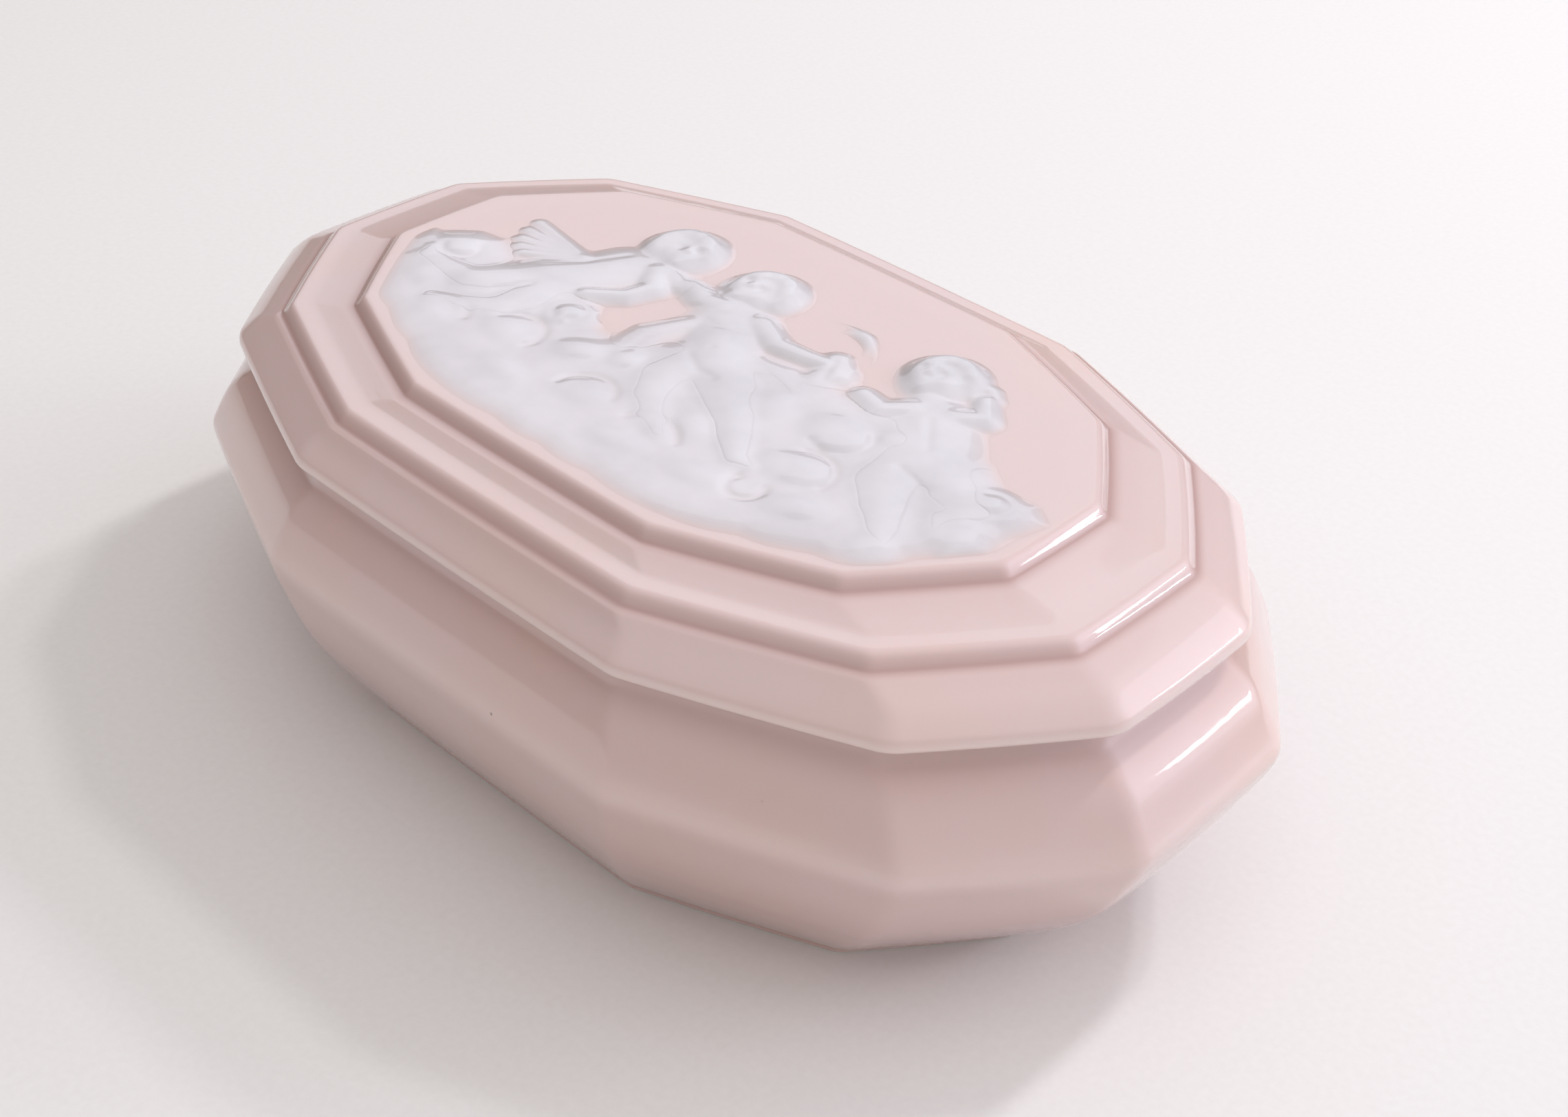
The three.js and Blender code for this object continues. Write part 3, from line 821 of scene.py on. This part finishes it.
cloudBank = {
    "thickness": 0.6,
    "edge": 3.6,            # mm over which the bank thins out to nothing
    "border": 2.1,          # bare pink left inside the edge of the top
    "borderCorner": 6,
    "borderEnd": -4,        # the border is the outline up to this y, and the upper edge closes it
    "scallopRise": 0.5,     # small scallops along the border, up to their own y
    "scallopSize": 3.1,
    "scallopEnd": -12,
    "billowRise": 0.95,
    "billowEdge": 0.3,      # the most that a billow stands up at the bank's own edge
    "billowJoin": 0.2,
    # upper edge from right to left, where the bank billows behind the figures
    "upper": [(53.4, 0.8), (50, 3.2), (45, 2.4), (41, 4.8), (34, 3.4), (27, 6), (21.6, 4.6), (16.6, 5),
              (9, 4), (2, 1), (-5, 0), (-8.6, -5), (-12.4, -7.4), (-17, -5.4), (-20, -2), (-24, -1.4),
              (-30, -2.6), (-36, -3.6), (-38.6, -1), (-42.4, 0.8), (-46.8, 0), (-50.4, -4)],
    # x, y, half length, half width, tilt and height of each billow
    "billows": [
        (-44.6, -5.8, 4.6, 4.2, 20, 1.25), (-41, -14.6, 5.4, 3.2, -30, 1.05), (-33, -20, 6.4, 3.4, -24, 1),
        (-20.4, -7.6, 4.2, 3.8, 10, 1.3), (-22.8, -16, 6.6, 4, -16, 1.1), (-12.6, -12.6, 4.8, 3.4, 30, 1.15),
        (-16, -22.6, 6.8, 3.2, -8, 0.95), (-5, -19.4, 6.4, 3.8, 6, 1.05), (-6.6, -10, 3, 3.4, 0, 1.1),
        (6, -23.4, 7, 3.2, 4, 0.95), (13.4, -5, 5.4, 5, 30, 1.05), (24, -3.6, 6.6, 5.4, -20, 1.25),
        (25.4, -12.6, 6.8, 4.4, 14, 1.2), (18.6, -21.6, 7, 3.4, 10, 1), (31, -18.4, 5.8, 3.6, 24, 1.05),
        (46.6, -1.6, 4.4, 3.4, -20, 1.2), (47.6, -9, 3.6, 4, 20, 1.05), (29.6, 0.6, 4, 2.8, 10, 1),
        (41.6, -18, 3.8, 3, 30, 0.9), (10.6, -14.6, 5.6, 3.6, -38, 0.95),
    ],
    "furrowSize": (0.6, 0.24),
    # centre, radius, start and end of the furrows that curl round the billows
    "furrows": [
        (-20.4, -7.2, 2.2, -40, 250), (-44, -6, 2.6, -150, 60), (24, -19.6, 2.4, 150, 400),
        (24.4, -3.4, 4, -120, 40), (-22, -15.6, 4.2, -20, 160), (-4.6, -19, 4, 20, 190),
        (46.4, -1.6, 2.2, -100, 140), (7.4, -21.4, 5, 30, 150), (26, -12.6, 4.4, -10, 120),
        (-33, -19.4, 4.4, 20, 160),
    ],
    # centre, radius, start, end, width and rise of the two arcs of the loose curl of slip
    "curl": [(7.4, 9.6, 8.2, 20, 118, 0.85, 0.56), (8.6, 12, 4.4, 20, 150, 0.9, 0.5)],
    "curlTip": (10.4, 17.6, 2.6, 0.4),
    "curlFloor": -0.45,
}


def signedDistance(outline):
    # mm inside a closed outline, below 0 outside it
    points = np.array(outline, float)
    nearest = np.full(gridX.shape, farAway)
    inside = np.zeros(gridX.shape, bool)
    for (x1, y1), (x2, y2) in zip(points, np.roll(points, -1, axis=0)):
        _, awayX, awayY = fromLine(x1, y1, x2, y2)
        nearest = np.minimum(nearest, awayX ** 2 + awayY ** 2)
        dx, dy = x2 - x1, y2 - y1
        crosses = (y1 > gridY) != (y2 > gridY)
        inside ^= crosses & (gridX < x1 + dx * (gridY - y1) / (dy if abs(dy) > tiny else tiny))
    return np.where(inside, 1, -1) * np.sqrt(nearest)


def clouds():
    c = cloudBank
    lower = rimLength - 2 * lidSizes["lowerTierInset"]
    upper = lower - 2 * lidSizes["upperTierInset"]
    edge = outlineAt(upper, lidSizes["tierSlope"] + c["border"], c["borderCorner"])
    nearSide = [tuple(point) for point in edge if point[1] < c["borderEnd"]]
    nearSide.sort(key=lambda point: point[0])
    waver = 0.4 * np.sin(gridX / 5)
    scallop = c["scallopRise"] * np.abs(np.sin(gridX / c["scallopSize"] + waver))
    scallop = scallop * (gridY < c["scallopEnd"])
    depth = signedDistance(nearSide + c["upper"]) + scallop
    swell = np.clip(depth / c["edge"], -0.6, 1)
    bank = c["thickness"] * np.where(swell > 0, np.sin(swell * math.pi / 2), swell)
    for x, y, long, short, tilt, height in c["billows"]:
        billow = oval(x, y, long, short, tilt, height * c["billowRise"])
        bank = together(bank, np.minimum(billow, c["billowEdge"] + depth), c["billowJoin"])
    for x, y, radius, start, end in c["furrows"]:
        bank = bank + crease(curve(x, y, radius, start, end), *c["furrowSize"])
    arcs = [crease(curve(x, y, radius, start, end), width, -rise)
            for x, y, radius, start, end, width, rise in c["curl"]]
    return np.maximum(bank, sum(arcs) + touch(*c["curlTip"]) + c["curlFloor"])


def blurred(field, size):
    # an even soft blur, size in mm
    reach = math.ceil(3 * size / relief["gridStep"])
    weights = np.exp(-0.5 * (np.arange(-reach, reach + 1) * relief["gridStep"] / size) ** 2)
    weights /= weights.sum()
    for axis in (0, 1):
        pads = [(reach, reach) if a == axis else (0, 0) for a in (0, 1)]
        padded = np.pad(field, pads, mode="edge")
        field = sum(w * np.take(padded, range(k, k + field.shape[axis]), axis=axis)
                    for k, w in enumerate(weights))
    return field


def reliefPiece(name, node, own, others, slip):
    # one closed piece of slip: the shared surface where it is on top, tucked under where it isn't
    height = together(own, others, relief["fillet"]) - np.clip(others - own, 0, relief["tuck"])
    kept = (own > others - relief["tuck"]) & (own > relief["lowest"])
    kept &= height > -relief["bury"] * 0.5
    cell = kept[:-1, :-1] & kept[1:, :-1] & kept[1:, 1:] & kept[:-1, 1:]
    number = np.arange(kept.size).reshape(kept.shape)
    tops = np.stack([number[:-1, :-1][cell], number[1:, :-1][cell],
                     number[1:, 1:][cell], number[:-1, 1:][cell]], axis=1)
    used, flat = np.unique(tops, return_inverse=True)
    tops = flat.reshape(tops.shape)
    count = len(used)
    x, y = gridX.ravel()[used], gridY.ravel()[used]
    bed = topHeight + unevenness(x, y)
    top = np.column_stack([x, y, bed + height.ravel()[used]])
    under = np.column_stack([x, y, bed - relief["bury"]])
    sides = np.stack([tops, np.roll(tops, -1, axis=1)], axis=2).reshape(-1, 2)
    there = set(map(tuple, sides.tolist()))
    edge = [(a, b) for a, b in sides.tolist() if (b, a) not in there]
    faces = tops.tolist() + (tops[:, ::-1] + count).tolist()
    faces += [(b, a, a + count, b + count) for a, b in edge]
    piece = meshFrom(name, np.concatenate([top, under]), faces, [slip])
    # a thickness of milky hides 86 % of the pink
    cover = 1 - np.exp(-2 * np.clip(height.ravel()[used], 0, None) / relief["milky"])
    cover = np.concatenate([cover, cover]).astype(np.float32)
    attribute = piece.data.attributes.new("slipCover", "FLOAT", "POINT")
    attribute.data.foreach_set("value", cover)
    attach(piece, "lid")
    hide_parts(node)
    print(name, "made,", len(piece.data.vertices), "points")


def makeRelief(slip):
    fields = {
        "reliefClouds": ("relief_clouds", clouds()),
        "puttoReclining": ("putto_reclining", puttoReclining()),
        "puttoLeaning": ("putto_leaning", puttoLeaning()),
        "puttoKneeling": ("putto_kneeling", puttoKneeling()),
    }
    soft = {name: blurred(field, relief["softening"]) - relief["sink"]
            for name, (_, field) in fields.items()}
    for name in soft:
        if name != "reliefClouds":
            soft[name] = np.where(soft[name] > 0, soft[name] * relief["figureRise"], soft[name])
    for name, (node, _) in fields.items():
        others = np.max([soft[other] for other in soft if other != name], axis=0)
        reliefPiece(name, node, soft[name], others, slip)


tableFinish = {
    "side": 12000,
    "white": "#f0efee",
    "shaded": "#e9e7e6",
    "grain": 10 / 9,           # mm, drawn coarser than the real grain so that it shows
    "roughness": 0.7,
}


def makeFloor():
    # matt paint on a flat board: even off-white, with soft shadows and no clear reflections
    t = tableFinish
    material = newMaterial("mattPaintedTable")
    tree = material.node_tree
    place = addNode(tree, "ShaderNodeTexCoord").outputs["Object"]
    grain = addNode(tree, "ShaderNodeTexNoise", {}, {
        "Vector": place, "Scale": 1 / (t["grain"] * mm), "Detail": 3})
    colour = blendColour(tree, grain.outputs["Fac"], linear(t["white"]), linear(t["shaded"]))
    shader = addNode(tree, "ShaderNodeBsdfPrincipled", {}, {
        "Base Color": colour, "Roughness": t["roughness"]})
    addNode(tree, "ShaderNodeOutputMaterial", {}, {"Surface": shader.outputs["BSDF"]})
    side = t["side"] / 2
    corners = [(-side, -side, 0), (side, -side, 0), (side, side, 0), (-side, side, 0)]
    meshFrom("floor", corners, [(0, 1, 2, 3)], [material])
    print("floor laid")


studio = {
    "brightSide": (0.3, -0.03, 0.95),       # the pale ceiling, towards the window side of the room
    "roomBright": ("#faf7f6", 0.8),         # colour and strength there, and on the far side from it
    "roomDim": ("#efbfa0", 0.15),
    "roomTurn": (-0.15, 0.75),              # cosines between which the one passes into the other
    # azimuth, elevation, distance, width, height, watts, colour, and what the light is there for
    "lights": {
        "windowGlow": (138, 24, 950, 620, 500, 1.0, "#e6e6fb", "both"),
        "windowHaze": (138, 26, 1000, 1000, 800, 1.4, "#e9e9fa", "both"),
        "windowLeft": (133.5, 17, 900, 110, 40, 0.4, "#f4f4ff", "both"),
        "windowRight": (139.5, 18, 900, 110, 40, 0.4, "#f4f4ff", "both"),
        "lampNear": (166, 53, 1000, 80, 80, 1.5, "#fbfaff", "lighting"),
        "lampFar": (170, 43, 1000, 80, 80, 1.7, "#fbfaff", "lighting"),
        "paleWall": (-129, 34, 1300, 1300, 900, 2.9, "#eef2ff", "reflection"),
        "ceilingPanel": (30, 66, 1100, 700, 700, 0.7, "#fff8f2", "lighting"),
    },
}


def makeLights():
    for name, (azimuth, elevation, distance, width, height, watts, tint, use) in studio["lights"].items():
        data = bpy.data.lights.new(name, "AREA")
        data.shape = "RECTANGLE"
        data.size, data.size_y = width * mm, height * mm
        data.energy = watts
        data.color = linear(tint)[:3]
        light = bpy.data.objects.new(name, data)
        bpy.context.scene.collection.objects.link(light)
        back = direction(azimuth, elevation)
        light.location = back * distance * mm + Vector((0, 0, mouthHeight * mm))
        light.rotation_mode = "QUATERNION"
        light.rotation_quaternion = back.to_track_quat("Z", "Y")
        light.visible_glossy = use != "lighting"
        light.visible_diffuse = use != "reflection"
    world = bpy.data.worlds.new("paleRoom")
    bpy.context.scene.world = world
    world.use_nodes = True
    tree = world.node_tree
    tree.nodes.clear()
    outward = addNode(tree, "ShaderNodeTexCoord").outputs["Generated"]
    facing = addNode(tree, "ShaderNodeVectorMath", {"operation": "DOT_PRODUCT"}, {
        0: outward, 1: Vector(studio["brightSide"]).normalized()})
    share = addNode(tree, "ShaderNodeMapRange", {"interpolation_type": "SMOOTHSTEP"}, {
        "Value": facing.outputs["Value"],
        "From Min": studio["roomTurn"][0],
        "From Max": studio["roomTurn"][1],
    })
    (dimTint, dim), (brightTint, bright) = studio["roomDim"], studio["roomBright"]
    room = blendColour(tree, share.outputs["Result"], [c * dim for c in linear(dimTint)],
                       [c * bright for c in linear(brightTint)])
    sky = addNode(tree, "ShaderNodeBackground", {}, {"Color": room})
    addNode(tree, "ShaderNodeOutputWorld", {}, {"Surface": sky.outputs["Background"]})
    bpy.context.scene.view_settings.view_transform = "Standard"
    print("room lit")


makeCamera()
glaze, slip, bare = pinkGlazedPorcelain(), whiteSlipUnderGlaze(), barePorcelain()
print("glazes mixed")
makeBowl(glaze, bare)
makeLid(glaze, bare)
makeRelief(slip)
makeFloor()
makeLights()
